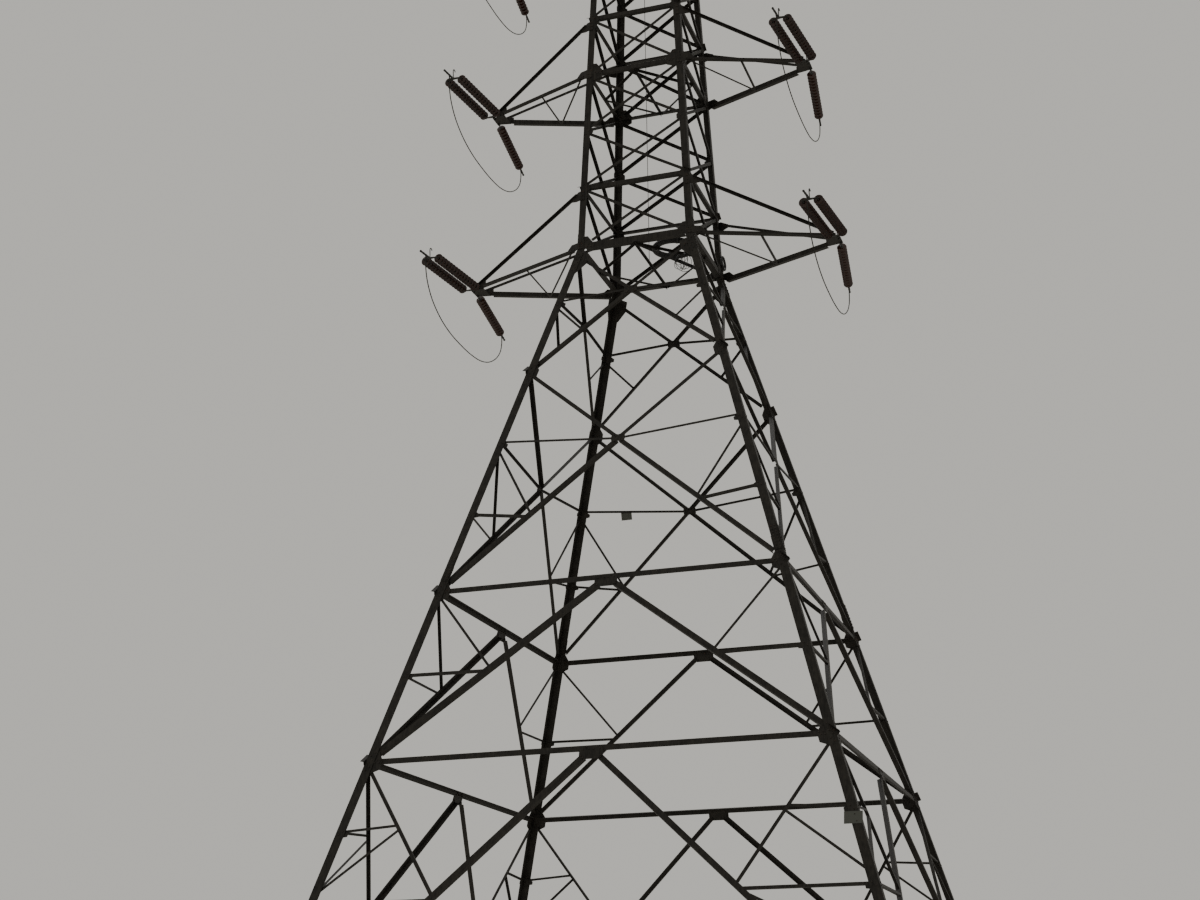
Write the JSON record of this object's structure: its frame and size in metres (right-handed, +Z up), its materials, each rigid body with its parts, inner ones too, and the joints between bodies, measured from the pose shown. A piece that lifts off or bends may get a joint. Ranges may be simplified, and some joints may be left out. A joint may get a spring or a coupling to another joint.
{
  "type": "lattice transmission tower",
  "caption": "Self-standing steel lattice tower with tapering legs, crossed bracing, cross-arms, strain insulator sets and hanging jumpers that hold line conductors apart.",
  "frame": {"origin": "on the ground at the middle of the four footings", "axes": "+Z up, X along the cross-arms, +Y along the line, away from the picture's camera"},
  "size_m": [15.0282, 15.0282, 37.7],
  "materials": {
    "galvanised_steel": "weathered hot-dip galvanising, dull and dark with dirt",
    "porcelain": "brown glaze",
    "fitting_steel": "galvanised forgings, dull",
    "cable_aluminium": "weathered strands",
    "cable_sheath": "black sheath, matt",
    "concrete": "cast concrete, weathered",
    "plate_paint": "bare painted plate"
  },
  "bodies": {
    "root": {"leg_near_left": "galvanised_steel", "leg_near_right": "galvanised_steel", "leg_far_right": "galvanised_steel", "leg_far_left": "galvanised_steel", "base_bracing_front": "galvanised_steel", "base_bracing_right": "galvanised_steel", "base_bracing_back": "galvanised_steel", "base_bracing_left": "galvanised_steel", "body_bracing_front": "galvanised_steel", "body_bracing_right": "galvanised_steel", "body_bracing_back": "galvanised_steel", "body_bracing_left": "galvanised_steel", "cage_bracing_front": "galvanised_steel", "cage_bracing_right": "galvanised_steel", "cage_bracing_back": "galvanised_steel", "cage_bracing_left": "galvanised_steel", "ring_low": "galvanised_steel", "ring_mid": "galvanised_steel", "plan_bracing": "galvanised_steel", "earth_wire_peak": "galvanised_steel", "arm_low_left": "galvanised_steel", "arm_low_right": "galvanised_steel", "arm_mid_left": "galvanised_steel", "arm_mid_right": "galvanised_steel", "arm_top_left": "galvanised_steel", "arm_top_right": "galvanised_steel", "strings_low_left": "porcelain", "strings_low_right": "porcelain", "strings_mid_left": "porcelain", "strings_mid_right": "porcelain", "strings_top_left": "porcelain", "strings_top_right": "porcelain", "fittings_low_left": "fitting_steel", "fittings_low_right": "fitting_steel", "fittings_mid_left": "fitting_steel", "fittings_mid_right": "fitting_steel", "fittings_top_left": "fitting_steel", "fittings_top_right": "fitting_steel", "jumper_low_left": "cable_aluminium", "jumper_low_right": "cable_aluminium", "jumper_mid_left": "cable_aluminium", "jumper_mid_right": "cable_aluminium", "jumper_top_left": "cable_aluminium", "jumper_top_right": "cable_aluminium", "footings": "concrete", "number_plate": "plate_paint", "cable_coil": "cable_sheath", "down_lead": "cable_sheath"}
  },
  "joints": []
}
